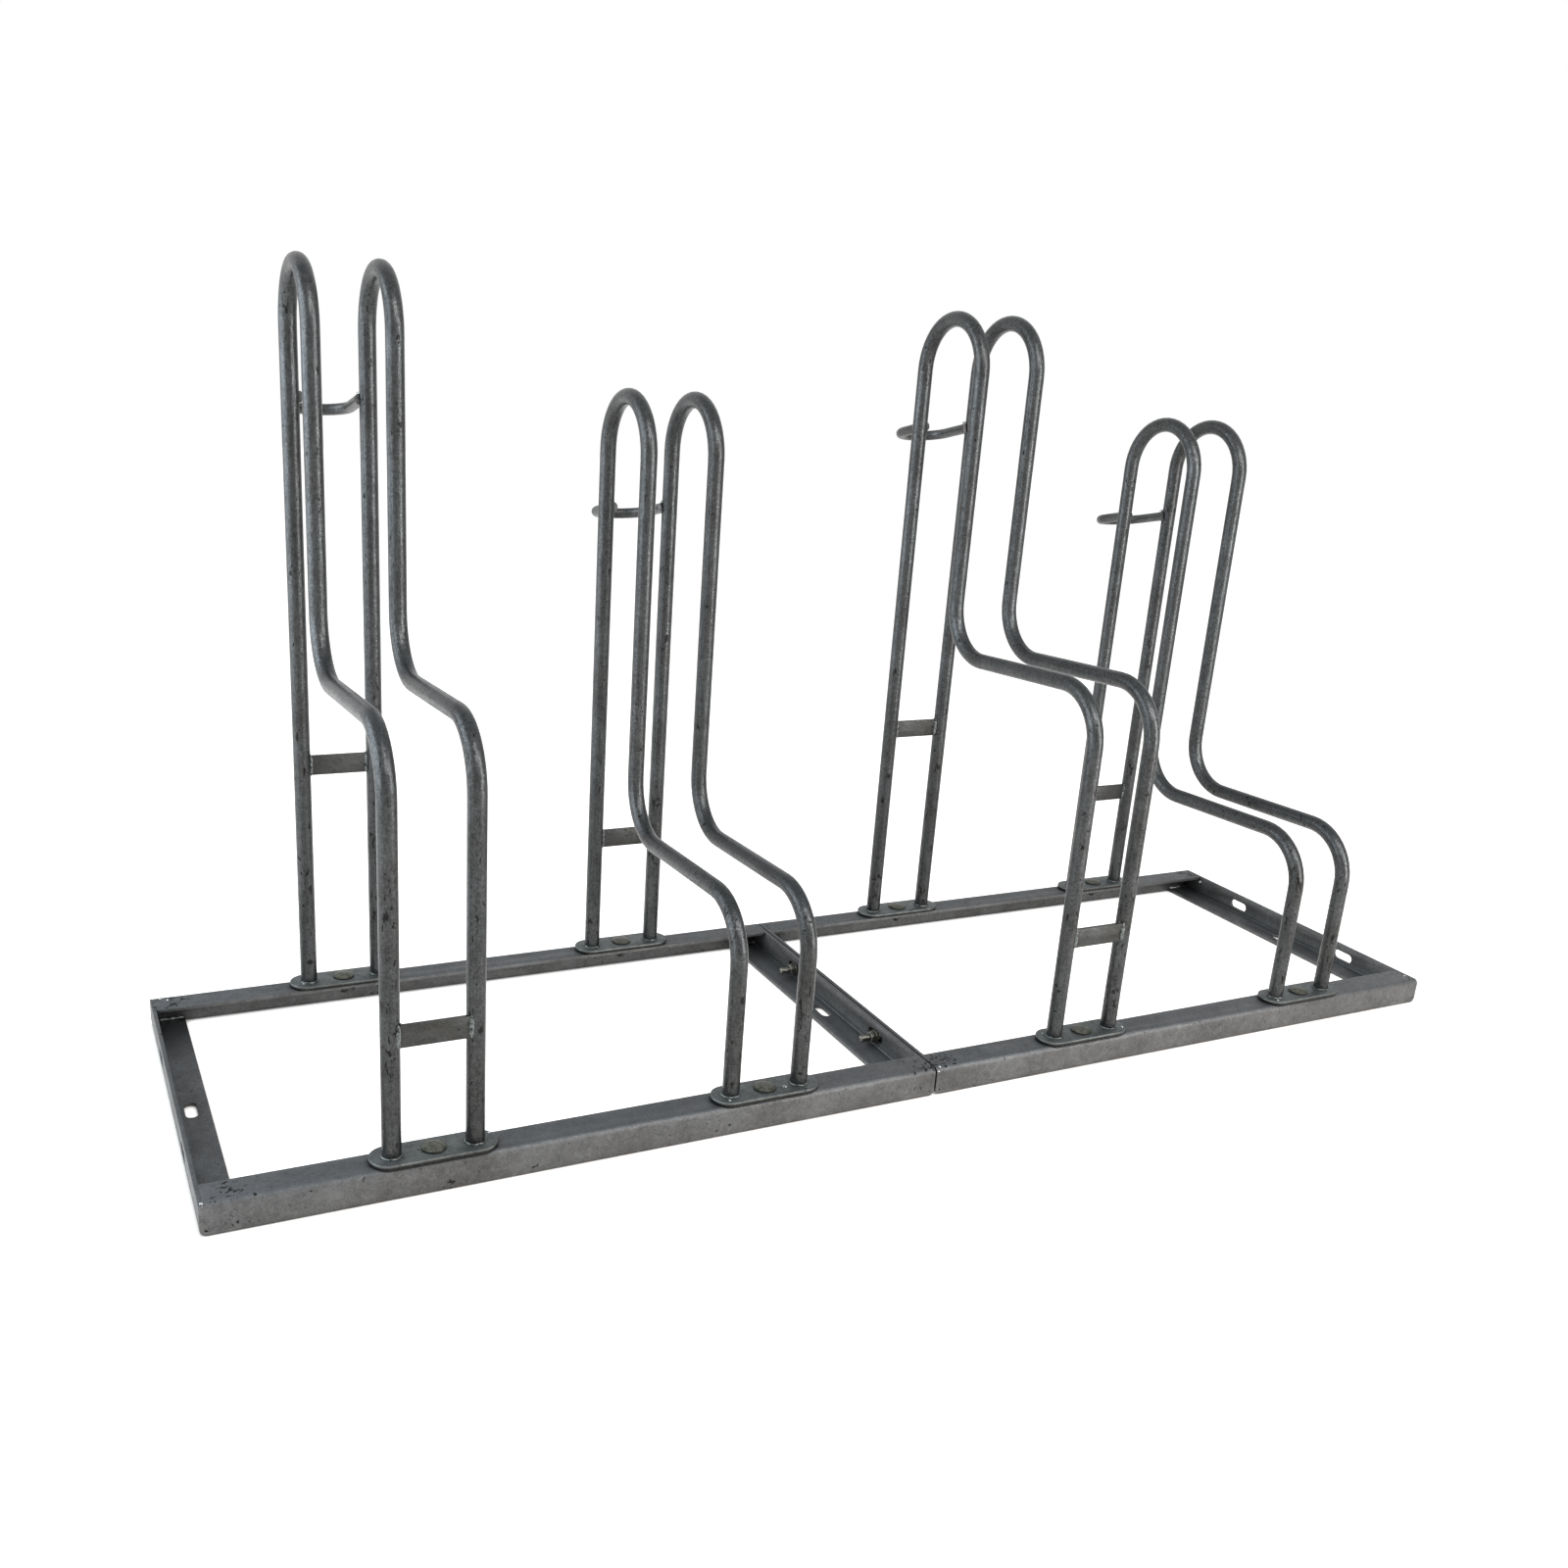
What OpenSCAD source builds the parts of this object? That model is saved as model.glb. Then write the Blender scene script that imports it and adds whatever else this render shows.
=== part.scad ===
// Floor bike rack: two joined rack units of two wheel holders each.
// Every holder is a pair of bent tube hoops on bolted foot plates. High and low holders alternate.
// X runs along the rack, Y from the front to the rear, Z up from the floor.
// The origin is on the floor, at the middle of the rack's overall plan.

/* [Ground frame] */
// Length of one rack unit
unit_l = 750; // [700:5:1000]
// Gap between the two joined units
unit_gap = 2; // [1:0.5:6]
// Depth of the ground frame, from front to rear
frame_d = 440; // [380:5:600]
// Height of the angle bars' upright leg
angle_h = 31; // [26:1:50]
// Width of the angle bars' flat leg
angle_w = 35; // [30:1:50]
// Wall of the angle bars
angle_t = 4; // [3:0.5:6]
// Inside radius of the angle bars' bend
angle_bend_r = 2; // [1:0.5:4]
// Diameter of the drain hole in the right unit's rear rail
drain_d = 5; // [3:0.5:8]
// Distance of the drain hole from the end of its rail
drain_inset = 12; // [8:1:30]

/* [End bar slots] */
// Distance between the two slots in an end bar's upright leg
slot_pitch = 200; // [120:5:260]
// Length of a slot, end to end
slot_l = 31; // [24:1:40]
// Width of a slot
slot_w = 12; // [10:0.5:14]

/* [Holders] */
// Distance from the left end of a unit to its first holder
holder_start = 207.5; // [150:0.5:260]
// Distance between the two holders of a unit
holder_pitch = 343; // [260:1:400]
// Outside diameter of the tubes
tube_d = 18; // [14:0.5:22]
// Wall of the tubes
tube_t = 2; // [1:0.25:3]
// Free width for a tyre, between the two hoops of a holder
tyre_gap = 60; // [40:1:75]
// Radius of the tube bends, at the tube's centre line
tube_bend_r = 60; // [45:1:75]
// Overall height of a high holder
high_h = 814; // [740:1:950]
// Overall height of a low holder
low_h = 707; // [640:1:850]
// Height of a high holder's front bend, where its two runs would meet
high_knee_z = 437; // [350:1:480]
// Height of a low holder's front bend, where its two runs would meet
low_knee_z = 239; // [200:1:300]
// How much lower the middle run of a high holder ends at its rear
high_fall = 19; // [0:1:40]
// How much lower the middle run of a low holder ends at its rear
low_fall = 12.5; // [0:0.5:30]

/* [Foot plates] */
// Thickness of a foot plate
plate_t = 5; // [4:0.5:8]
// Width of a foot plate
plate_w = 38; // [30:1:50]
// Metal past the outside of a tube at each end of a foot plate
plate_end = 12; // [8:1:20]

/* [Cross bars] */
// Height of the flat cross bars
bar_h = 22; // [15:1:30]
// Thickness of the flat cross bars
bar_t = 4; // [3:0.5:6]
// Height of the front cross bar's middle above the floor
front_bar_z = 157; // [100:1:250]
// How far the front cross bar sits ahead of its tubes' centre line
front_bar_lead = 5; // [0:0.5:5]
// Height of a high holder's rear cross bar above the floor
high_rear_bar_z = 291.5; // [240:0.5:340]
// Height of a low holder's rear cross bar above the floor
low_rear_bar_z = 176; // [120:1:220]

/* [Wheel stops] */
// Diameter of the wheel stop's rod
stop_d = 12; // [8:0.5:14]
// How far the stop bows out behind the rear tubes' centre line
stop_reach = 79; // [60:1:120]
// How far each leg of the stop sits inside its tube's centre line
stop_inset = 8; // [6:0.5:12]
// Height of a high holder's wheel stop, at its tubes
high_stop_z = 679; // [600:1:700]
// Height of a low holder's wheel stop, at its tubes
low_stop_z = 574.5; // [480:0.5:590]
// Downward tilt of the wheel stop towards the rear, in degrees
stop_tilt = 12; // [0:0.5:20]

/* [Foot bolts] */
// Thread diameter of all bolts
bolt_d = 8; // [6:0.5:9]
// Length of a foot bolt under its head
foot_bolt_l = 20; // [18:1:24]
// Diameter of a foot bolt's domed head
head_d = 23; // [16:0.1:26]
// Height of a foot bolt's domed head
head_h = 4; // [3:0.1:6]
// Height of the straight rim under the head's dome
head_rim = 1.6; // [0.5:0.1:2.5]
// Length of the square neck under the domed head
neck_l = 4; // [3:0.1:5]

/* [Joining bolts and nuts] */
// Length of a joining bolt under its head
joint_bolt_l = 30; // [28:1:45]
// Height of a joining bolt's hexagon head
hex_head_h = 5.3; // [4:0.1:7]
// Width across flats of the nuts and hexagon heads
nut_af = 13; // [12:0.5:17]
// Height of a nut
nut_h = 6.5; // [5:0.1:8]
// Outside diameter of a washer
washer_d = 16; // [14:0.5:24]
// Thickness of a washer
washer_t = 1.6; // [1:0.1:2.5]
// How far towards the front a joining bolt sits from its slot's middle
joint_bolt_lead = 0; // [0:0.5:6]
// How far below its slot's middle a joining bolt sits
joint_bolt_drop = 1; // [0:0.25:1.5]

/* [Fits] */
// What a round bolt hole is wider than its bolt
hole_play = 1; // [0.5:0.1:2]
// What a nut's or washer's bore is wider than its bolt
bore_play = 0.3; // [0.2:0.1:0.6]
// What a square hole is wider than the bolt's neck
neck_play = 0.4; // [0.2:0.1:1]
// Gap at each coped end that is welded to a tube
weld_gap = 0.2; // [0.1:0.1:0.4]

/* [Hidden] */
$fn = 96;
// Overrun of every cut past the face that it cuts
over = 1;
// Bending draws a tube or rod in by this much, and a straight run reaches this far into its bends
bend_draw = 0.1;
bend_grip = 0.5;
// Chamfer of a nut's corners, and of a bolt's end, as shares of the nut's width and the bolt's diameter
nut_crown_share = 0.95;
bolt_end_share = 0.1;
// Slope of a nut's chamfer, in degrees
nut_chamfer = 30;

// The two units, and the two sides of a unit or a holder
LEFT = -1;
RIGHT = 1;

angle_out_r = angle_bend_r + angle_t;
tube_r = tube_d / 2;
tube_pitch = tyre_gap + tube_d;
plate_l = tube_pitch + tube_d + 2 * plate_end;
plate_top_z = angle_h + plate_t;

// Plan depth, from the foot plates' front edge to the wheel stops' rear
plate_lip = max(0, (plate_w - angle_w) / 2);
stop_back = max(plate_w / 2, stop_reach * cos(stop_tilt) + stop_d / 2) - angle_w / 2;
plan_d = plate_lip + frame_d + stop_back;
front_y = plate_lip - plan_d / 2;
rear_y = front_y + frame_d;

// The feet stand on the middle of the rails' flat leg, and the upper hoop is one half turn
front_foot_y = front_y + angle_w / 2;
rear_foot_y = rear_y - angle_w / 2;
upper_y = rear_foot_y - 2 * tube_bend_r;

slot_z = angle_h / 2;
middle_y = (front_y + rear_y) / 2;
joint_bolt_z = slot_z - joint_bolt_drop;

// Left and right ends of a unit along X
function unit_left_x(unit) = unit == LEFT ? -unit_gap / 2 - unit_l : unit_gap / 2;
function unit_right_x(unit) = unit_left_x(unit) + unit_l;

// Holders count from 1 at the left. The odd ones are high, and two stand in each unit.
function is_high(holder) = holder % 2 == 1;
function holder_x(holder) =
    unit_left_x(holder <= 2 ? LEFT : RIGHT) + holder_start + (is_high(holder) ? 0 : holder_pitch);
function knee_z(holder) = is_high(holder) ? high_knee_z : low_knee_z;
function shoulder_z(holder) = knee_z(holder) - (is_high(holder) ? high_fall : low_fall);
function top_z(holder) = (is_high(holder) ? high_h : low_h) - tube_r;
function rear_bar_z(holder) = is_high(holder) ? high_rear_bar_z : low_rear_bar_z;
function stop_z(holder) = is_high(holder) ? high_stop_z : low_stop_z;

// A bending plan is a list of steps, each a straight run and the turn of the bend after it.
// Place and heading at the start of step i, in the plane of the bends, each of radius r
function step_start(plan, i, r) =
    i == 0 ? [0, 0, 0] :
    let (
        from = step_start(plan, i - 1, r),
        run = plan[i - 1][0],
        turn = plan[i - 1][1],
        side = sign(turn),
        before = from[2],
        after = before + turn
    )
    [
        from[0] + run * cos(before) + side * r * (sin(after) - sin(before)),
        from[1] + run * sin(before) - side * r * (cos(after) - cos(before)),
        after
    ];

// Cross-section of a round rod of diameter d, or of a tube with a wall, drawn in by a little
module round_section(d, wall, draw) {
    difference() {
        circle(d = d - 2 * draw);
        if (wall > 0)
            circle(d = d - 2 * wall + 2 * draw);
    }
}

// A round rod or tube that starts along X and follows a bending plan, with bends of radius r.
// Its bends are drawn in by bend_draw, and each run reaches bend_grip into the bends beside it.
module bent_bar(plan, r, d, wall = 0) {
    for (i = [0 : len(plan) - 1]) {
        start = step_start(plan, i, r);
        run = plan[i][0];
        turn = plan[i][1];
        back = i == 0 ? 0 : bend_grip;
        ahead = turn == 0 ? 0 : bend_grip;
        translate([start[0], start[1], 0])
            rotate([0, 0, start[2]]) {
                translate([-back, 0, 0])
                    rotate([0, 90, 0])
                        linear_extrude(back + run + ahead)
                            round_section(d, wall, 0);
                if (turn != 0)
                    translate([run, sign(turn) * r, 0])
                        rotate([0, 0, turn > 0 ? -90 : 90 + turn])
                            rotate_extrude(angle = abs(turn))
                                translate([r, 0])
                                    round_section(d, wall, bend_draw);
            }
    }
}

// Section of an angle bar: its outer bend at the origin, its flat leg along X, its upright leg along Y
module angle_section() {
    translate([angle_out_r, 0])
        square([angle_w - angle_out_r, angle_t]);
    translate([0, angle_out_r])
        square([angle_t, angle_h - angle_out_r]);
    intersection() {
        translate([angle_out_r, angle_out_r])
            difference() {
                circle(r = angle_out_r);
                circle(r = angle_bend_r);
            }
        square(angle_out_r);
    }
}

// A slot or plate outline with round ends, centred, along X
module round_ended(l, w) {
    square([l - w, w], center = true);
    for (side = [LEFT, RIGHT])
        translate([side * (l - w) / 2, 0])
            circle(d = w);
}

// Side outline of an end bar, with its upper corners rounded like the rails' bend
module end_bar_side() {
    square([frame_d, angle_h - angle_out_r]);
    translate([angle_out_r, 0])
        square([frame_d - 2 * angle_out_r, angle_h]);
    for (y = [angle_out_r, frame_d - angle_out_r])
        translate([y, angle_h - angle_out_r])
            circle(r = angle_out_r);
}

// End bar without its slots: upright leg outside, flat leg inward on the floor
module end_bar_blank(unit, side) {
    translate([side == LEFT ? unit_left_x(unit) : unit_right_x(unit), 0, 0])
        mirror([side == LEFT ? 0 : 1, 0, 0])
            intersection() {
                translate([0, rear_y, 0])
                    rotate([90, 0, 0])
                        linear_extrude(frame_d)
                            angle_section();
                translate([-over, front_y, 0])
                    rotate([90, 0, 90])
                        linear_extrude(angle_w + 2 * over)
                            end_bar_side();
            }
}

// End bar with its two joining slots and its floor anchor slot
module end_bar(unit, side) {
    outer_x = side == LEFT ? unit_left_x(unit) : unit_right_x(unit);
    color("#6a6f70")
        difference() {
            end_bar_blank(unit, side);
            for (y = [middle_y - slot_pitch / 2, middle_y + slot_pitch / 2])
                translate([outer_x - angle_t - over, y, slot_z])
                    rotate([90, 0, 90])
                        linear_extrude(2 * (angle_t + over))
                            round_ended(slot_l, slot_w);
            translate([outer_x - side * angle_w / 2, middle_y, -over])
                rotate([0, 0, 90])
                    linear_extrude(angle_t + 2 * over)
                        round_ended(slot_l, slot_w);
        }
}

// Space that an end bar takes from the ends of the rails, with its outer bend filled out square
module end_bar_space(unit, side) {
    translate([side == LEFT ? unit_left_x(unit) : unit_right_x(unit), 0, 0])
        mirror([side == LEFT ? 0 : 1, 0, 0])
            translate([0, rear_y + over, 0])
                rotate([90, 0, 0])
                    linear_extrude(frame_d + 2 * over) {
                        angle_section();
                        square(angle_out_r);
                    }
}

// Rail along X between the end bars, coped round their flat legs. Its flat leg points inward, on top.
module rail_blank(unit, outer_y, inward) {
    difference() {
        translate([unit_left_x(unit) + angle_t, outer_y, angle_h])
            mirror([0, inward > 0 ? 0 : 1, 0])
                rotate([90, 0, 90])
                    linear_extrude(unit_l - 2 * angle_t)
                        mirror([0, 1])
                            angle_section();
        end_bar_space(unit, LEFT);
        end_bar_space(unit, RIGHT);
    }
}

// Round bolt holes through a rail's flat leg, under the foot plates of one unit
module foot_bolt_holes(unit, y) {
    for (holder = unit == LEFT ? [1, 2] : [3, 4])
        translate([holder_x(holder), y, angle_h - angle_t - over])
            cylinder(h = angle_t + 2 * over, d = bolt_d + hole_play);
}

module front_rail(unit) {
    color("#6c6f70")
        difference() {
            rail_blank(unit, front_y, 1);
            foot_bolt_holes(unit, front_foot_y);
        }
}

module rear_rail(unit) {
    color("#666b6c")
        difference() {
            rail_blank(unit, rear_y, -1);
            foot_bolt_holes(unit, rear_foot_y);
            if (unit == RIGHT)
                translate([unit_right_x(unit) - angle_t - drain_inset, rear_y - angle_t - over, slot_z])
                    rotate([-90, 0, 0])
                        cylinder(h = angle_t + 2 * over, d = drain_d);
        }
}

// Slope of a holder's middle run, down to the rear, and the length that a bend there takes from its runs
function middle_slope(holder) = atan2(knee_z(holder) - shoulder_z(holder), upper_y - front_foot_y);
function knee_cut(holder) = tube_bend_r * tan((90 + middle_slope(holder)) / 2);
function middle_run(holder) =
    norm([upper_y - front_foot_y, knee_z(holder) - shoulder_z(holder)]) - 2 * knee_cut(holder);

// Bending plan of a hoop: up from the front foot, back, up again, over a half turn, down to the rear foot
function hoop_plan(holder) = [
    [knee_z(holder) - knee_cut(holder) - plate_top_z, -90 - middle_slope(holder)],
    [middle_run(holder), 90 + middle_slope(holder)],
    [top_z(holder) - tube_bend_r - shoulder_z(holder) - knee_cut(holder), -180],
    [top_z(holder) - tube_bend_r - plate_top_z, 0]
];

// Hollow tube hoop on one side of a holder's tyre gap
module hoop(holder, side) {
    color("#737879")
        translate([holder_x(holder) + side * tube_pitch / 2, front_foot_y, plate_top_z])
            rotate([90, 0, 90])
                rotate([0, 0, 90])
                    bent_bar(hoop_plan(holder), tube_bend_r, tube_d, tube_t);
}

// Foot plate across both hoops, with a square hole for the bolt's neck
module foot_plate(holder, y) {
    color("#5f6361")
        translate([holder_x(holder), y, angle_h])
            difference() {
                linear_extrude(plate_t)
                    round_ended(plate_l, plate_w);
                translate([0, 0, -over])
                    linear_extrude(plate_t + 2 * over)
                        square(bolt_d + neck_play, center = true);
            }
}

// Space that the two tubes of a holder's front or rear take, with the welding gap around them
module tube_pair_space(holder, y, low_z, high_z) {
    for (side = [LEFT, RIGHT])
        translate([holder_x(holder) + side * tube_pitch / 2, y, low_z])
            cylinder(h = high_z - low_z, d = tube_d + 2 * weld_gap);
}

// Flat bar between two tubes, coped to them at both ends
module cross_bar(holder, foot_y, lead, z) {
    color("#6d6f6c")
        difference() {
            translate([holder_x(holder) - tube_pitch / 2, foot_y - lead - bar_t / 2, z - bar_h / 2])
                cube([tube_pitch, bar_t, bar_h]);
            tube_pair_space(holder, foot_y, z - bar_h / 2 - over, z + bar_h / 2 + over);
        }
}

// Round rod bowed out behind the rear tubes in a half turn, coped to their rear sides
module wheel_stop(holder) {
    half_w = tube_pitch / 2 - stop_inset;
    leg = stop_reach - half_w;
    color("#7c8080")
        difference() {
            translate([holder_x(holder), rear_foot_y, stop_z(holder)])
                rotate([-stop_tilt, 0, 0])
                    translate([-half_w, 0, 0])
                        rotate([0, 0, 90])
                            bent_bar([[leg, -180], [leg, 0]], half_w, stop_d);
            tube_pair_space(holder, rear_foot_y, stop_z(holder) - stop_d, stop_z(holder) + stop_d);
        }
}

// Domed bolt head that stands on Z = 0
module domed_head() {
    rise = head_h - head_rim;
    dome_r = (head_d * head_d / 4 + rise * rise) / (2 * rise);
    rotate_extrude()
        intersection() {
            translate([0, head_h - dome_r])
                circle(r = dome_r);
            square([head_d / 2, head_h]);
        }
}

// Threaded shank that hangs from Z = 0 to -l, with its end chamfered
module shank(l) {
    tip = bolt_d * bolt_end_share;
    translate([0, 0, tip - l])
        cylinder(h = l - tip, d = bolt_d);
    translate([0, 0, -l])
        cylinder(h = tip, d1 = bolt_d - 2 * tip, d2 = bolt_d);
}

// Hexagon of height h on Z = 0, with its corners chamfered on the top
module hexagon(h) {
    crown_r = nut_af / 2 * nut_crown_share;
    chamfer_r = nut_af;
    intersection() {
        cylinder(h = h, r = nut_af / 2 / cos(30), $fn = 6);
        rotate_extrude()
            polygon([
                [0, 0], [chamfer_r, 0], [chamfer_r, h - (chamfer_r - crown_r) * tan(nut_chamfer)],
                [crown_r, h], [0, h]
            ]);
    }
}

// Nut whose chamfered face points up from Z = 0
module nut() {
    difference() {
        hexagon(nut_h);
        translate([0, 0, -over])
            cylinder(h = nut_h + 2 * over, d = bolt_d + bore_play);
    }
}

// Domed bolts that hold the foot plates on the rails
module foot_bolts() {
    color("#6f6c5c")
        for (holder = [1 : 4], y = [front_foot_y, rear_foot_y])
            translate([holder_x(holder), y, plate_top_z]) {
                domed_head();
                translate([0, 0, -neck_l / 2])
                    cube([bolt_d, bolt_d, neck_l], center = true);
                shank(foot_bolt_l);
            }
}

// Nuts under the rails' flat legs
module foot_nuts() {
    color("#7a7663")
        for (holder = [1 : 4], y = [front_foot_y, rear_foot_y])
            translate([holder_x(holder), y, angle_h - angle_t])
                rotate([180, 0, 0])
                    nut();
}

// Places a piece that is built along Z at both joining bolts, with Z towards the left unit
module at_joining_bolts(x) {
    for (y = [middle_y - slot_pitch / 2, middle_y + slot_pitch / 2])
        translate([x, y - joint_bolt_lead, joint_bolt_z])
            rotate([0, -90, 0])
                children();
}

// Bolts through the slots of the two units' end bars, headed in the right unit
module joining_bolts() {
    color("#7d7558")
        at_joining_bolts(unit_left_x(RIGHT) + angle_t)
            rotate([180, 0, 0]) {
                hexagon(hex_head_h);
                shank(joint_bolt_l);
            }
}

module joining_washers() {
    color("#85826f")
        at_joining_bolts(unit_right_x(LEFT) - angle_t)
            difference() {
                cylinder(h = washer_t, d = washer_d);
                translate([0, 0, -over])
                    cylinder(h = washer_t + 2 * over, d = bolt_d + bore_play);
            }
}

module joining_nuts() {
    color("#7d7558")
        at_joining_bolts(unit_right_x(LEFT) - angle_t - washer_t)
            nut();
}

front_rail(LEFT);  // left_front_rail
rear_rail(LEFT);  // left_rear_rail
end_bar(LEFT, LEFT);  // left_end_bar
end_bar(LEFT, RIGHT);  // left_middle_end_bar
front_rail(RIGHT);  // right_front_rail
rear_rail(RIGHT);  // right_rear_rail
end_bar(RIGHT, LEFT);  // right_middle_end_bar
end_bar(RIGHT, RIGHT);  // right_end_bar

hoop(1, LEFT);  // holder1_left_hoop
hoop(1, RIGHT);  // holder1_right_hoop
foot_plate(1, front_foot_y);  // holder1_front_plate
foot_plate(1, rear_foot_y);  // holder1_rear_plate
cross_bar(1, front_foot_y, front_bar_lead, front_bar_z);  // holder1_front_bar
cross_bar(1, rear_foot_y, 0, rear_bar_z(1));  // holder1_rear_bar
wheel_stop(1);  // holder1_wheel_stop

hoop(2, LEFT);  // holder2_left_hoop
hoop(2, RIGHT);  // holder2_right_hoop
foot_plate(2, front_foot_y);  // holder2_front_plate
foot_plate(2, rear_foot_y);  // holder2_rear_plate
cross_bar(2, rear_foot_y, 0, rear_bar_z(2));  // holder2_rear_bar
wheel_stop(2);  // holder2_wheel_stop

hoop(3, LEFT);  // holder3_left_hoop
hoop(3, RIGHT);  // holder3_right_hoop
foot_plate(3, front_foot_y);  // holder3_front_plate
foot_plate(3, rear_foot_y);  // holder3_rear_plate
cross_bar(3, front_foot_y, front_bar_lead, front_bar_z);  // holder3_front_bar
cross_bar(3, rear_foot_y, 0, rear_bar_z(3));  // holder3_rear_bar
wheel_stop(3);  // holder3_wheel_stop

hoop(4, LEFT);  // holder4_left_hoop
hoop(4, RIGHT);  // holder4_right_hoop
foot_plate(4, front_foot_y);  // holder4_front_plate
foot_plate(4, rear_foot_y);  // holder4_rear_plate
cross_bar(4, rear_foot_y, 0, rear_bar_z(4));  // holder4_rear_bar
wheel_stop(4);  // holder4_wheel_stop

foot_bolts();
foot_nuts();
joining_bolts();
joining_washers();
joining_nuts();
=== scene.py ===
# Floor bike rack in hot-dip galvanised steel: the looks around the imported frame.
# The rack's lengths are written in millimetres and turned to metres by mm(); the floor, the lamps and
# the camera are placed in metres.
import math

import bpy
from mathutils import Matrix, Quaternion, Vector


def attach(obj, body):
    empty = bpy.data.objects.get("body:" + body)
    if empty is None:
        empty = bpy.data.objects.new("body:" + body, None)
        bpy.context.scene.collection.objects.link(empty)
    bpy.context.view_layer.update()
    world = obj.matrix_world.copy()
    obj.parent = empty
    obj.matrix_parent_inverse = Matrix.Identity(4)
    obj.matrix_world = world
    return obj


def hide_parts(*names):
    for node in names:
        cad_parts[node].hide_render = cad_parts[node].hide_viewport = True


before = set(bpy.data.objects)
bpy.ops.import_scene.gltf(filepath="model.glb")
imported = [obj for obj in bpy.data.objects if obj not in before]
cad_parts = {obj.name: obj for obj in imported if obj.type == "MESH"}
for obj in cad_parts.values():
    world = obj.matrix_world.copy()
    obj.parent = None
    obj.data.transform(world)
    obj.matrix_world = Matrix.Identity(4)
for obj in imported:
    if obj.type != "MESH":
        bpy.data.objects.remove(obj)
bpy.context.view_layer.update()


def mm(*lengths):
    """Millimetres to metres: one length as a number, three as a vector."""
    if len(lengths) == 1:
        return lengths[0] / 1000
    return Vector([length / 1000 for length in lengths])


# sizes of the rack, as its source has them

UNIT_LENGTH = 750
UNIT_GAP = 2
FRAME_DEPTH = 440
MIDDLE_Y = -32.137  # the frame's middle; the stops behind it bring the whole rack's middle to 0
ANGLE_W = 35
ANGLE_H = 31
ANGLE_T = 4
SLOT_PITCH = 200
HOLDER_START = 207.5
HOLDER_PITCH = 343
HIGH_HOLDERS = (1, 3)
TUBE_PITCH = 78
TUBE_R = 9
BEND_R = 60
PLATE_T = 5
ROD_R = 6
STOP_BACK = 79
STOP_INSET = 8
STOP_TILT = 12
# heights at a high and at a low holder, where top is that of the centre line
HIGH = dict(knee=437, shoulder=418, top=805, stop=679, rear_bar=291.5)
LOW = dict(knee=239, shoulder=226.5, top=698, stop=574.5, rear_bar=176)
# flat bars between the tubes, and the bolts that join the two units
BAR_T = 4
FRONT_BAR_Z = 157
FRONT_BAR_LEAD = 5
BOLT_R = 4
WASHER_T = 1.6
NUT_H = 6.5
JOINING_BOLT_Z = 14.5
THREAD_PITCH = 1.25
THREAD_TURNS = 9
THREAD_ROOT_R = BOLT_R - 0.35
THREAD_CREST_R = BOLT_R + 0.15

# places worked out from the sizes
UNIT_MIDDLE_X = (UNIT_LENGTH + UNIT_GAP) / 2
UNIT_LEFT_X = (-UNIT_GAP / 2 - UNIT_LENGTH, UNIT_GAP / 2)
HOLDER_X = {1 + 2 * unit + place: left + HOLDER_START + place * HOLDER_PITCH
            for unit, left in enumerate(UNIT_LEFT_X) for place in (0, 1)}
# middles of the end bars' floor legs, where the upright legs leave them clear
LEG_FROM_MIDDLE = (UNIT_LENGTH - ANGLE_W - ANGLE_T) / 2
FLOOR_LEG_X = [unit * UNIT_MIDDLE_X + end * LEG_FROM_MIDDLE for unit in (-1, 1) for end in (-1, 1)]
FRONT_Y = MIDDLE_Y - FRAME_DEPTH / 2
REAR_Y = MIDDLE_Y + FRAME_DEPTH / 2
FRONT_FOOT_Y = FRONT_Y + ANGLE_W / 2
REAR_FOOT_Y = REAR_Y - ANGLE_W / 2
UPPER_Y = REAR_FOOT_Y - 2 * BEND_R
PLATE_TOP_Z = ANGLE_H + PLATE_T
NUT_FACE_X = -(UNIT_GAP / 2 + ANGLE_T + WASHER_T + NUT_H)
JOINING_BOLT_Y = (MIDDLE_Y - SLOT_PITCH / 2, MIDDLE_Y + SLOT_PITCH / 2)


def level(holder):
    """The heights of one holder."""
    return HIGH if holder in HIGH_HOLDERS else LOW


def tube_x(holder, side):
    """Middle of a holder's left tube with side -1, of its right one with side 1."""
    return HOLDER_X[holder] + side * TUBE_PITCH / 2


# small workshop tools

def put_down():
    """Nothing stays selected, so that the next operator acts on its own piece alone."""
    if bpy.context.object and bpy.context.object.mode != "OBJECT":
        bpy.ops.object.mode_set(mode="OBJECT")
    bpy.ops.object.select_all(action="DESELECT")


def take(piece):
    """Makes the piece the active one, and the only one selected."""
    put_down()
    piece.select_set(True)
    bpy.context.view_layer.objects.active = piece


def name_new(name):
    """Names the piece that the last operator made."""
    piece = bpy.context.object
    piece.name = name
    piece.data.name = name
    return piece


def close_up(piece, smooth=40):
    """Ends the edit: doubles merged, faces outwards, place kept in the mesh, edges sharp past the angle."""
    take(piece)
    bpy.ops.object.mode_set(mode="EDIT")
    bpy.ops.mesh.select_all(action="SELECT")
    bpy.ops.mesh.remove_doubles(threshold=1e-5)
    bpy.ops.mesh.normals_make_consistent(inside=False)
    bpy.ops.object.mode_set(mode="OBJECT")
    bpy.ops.object.transform_apply(location=True, rotation=True, scale=True)
    bpy.ops.object.shade_smooth_by_angle(angle=math.radians(smooth))


def fit(piece, material, slot, *nodes):
    """Gives a finished piece its material, hangs it on the root body and hides the solids that it takes the
    place of.
    """
    piece.data.materials.clear()
    piece.data.materials.append(material)
    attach(piece, "root")
    if nodes:
        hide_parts(*nodes)
    return piece


# materials

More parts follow.
